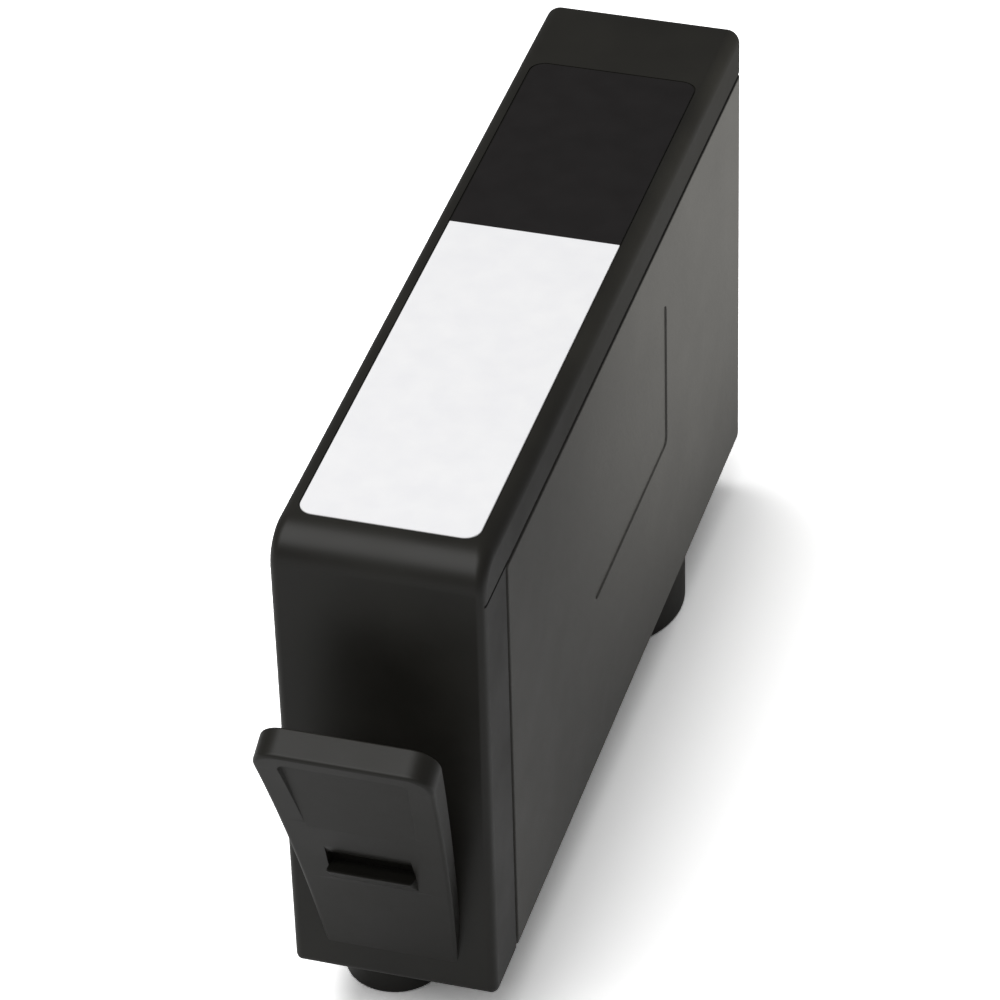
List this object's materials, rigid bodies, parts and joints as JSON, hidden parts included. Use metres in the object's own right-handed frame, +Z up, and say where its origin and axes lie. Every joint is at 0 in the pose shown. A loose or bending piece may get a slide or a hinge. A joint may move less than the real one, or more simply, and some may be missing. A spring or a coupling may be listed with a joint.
{
  "type": "inkjet ink cartridge",
  "caption": "Tall narrow ink tank with a welded side cover, a leaning clip latch in front, a top label and a round ink outlet below.",
  "frame": {"origin": "middle of the bounding box's bottom, at the plane that the outlet ring and the front boss stand on", "axes": "+Z up, +Y towards the rear face that carries the chip, -Y towards the latch, +X towards the welded side cover"},
  "size_m": [0.0186, 0.0974, 0.053],
  "materials": {
    "black_plastic": "moulded, softly satin",
    "cover_plastic": "fine spark-eroded texture",
    "label_film": "satin film, white with a black band at the rear",
    "seal_film": "clear, heat-sealed",
    "foam": "open-cell, soaked",
    "felt": "bonded fibre",
    "steel_mesh": "fine woven mesh",
    "elastomer": "smooth",
    "board_laminate": "solder mask",
    "contact_gold": "gold plated",
    "epoxy": "cured drop"
  },
  "bodies": {
    "cartridge": {"tank_body": "black_plastic", "side_cover": "cover_plastic", "top_label": "label_film", "vent_seal_film": "seal_film", "ink_absorber": "foam", "outlet_wick": "felt", "outlet_filter": "steel_mesh", "fill_plug": "elastomer", "chip_board": "board_laminate", "chip_contact_1": "contact_gold", "chip_contact_2": "contact_gold", "chip_contact_3": "contact_gold", "chip_contact_4": "contact_gold", "chip_glob": "epoxy"},
    "latch": {"release_latch": "black_plastic"}
  },
  "joints": [
    {"name": "latch_flex", "type": "hinge", "parent": "cartridge", "child": "latch", "pos_m": [0, -0.03811, 0.01347], "axis": [-1, 0, 0], "range_deg": [0, 9], "stiffness_Nm_per_rad": 0.8}
  ]
}
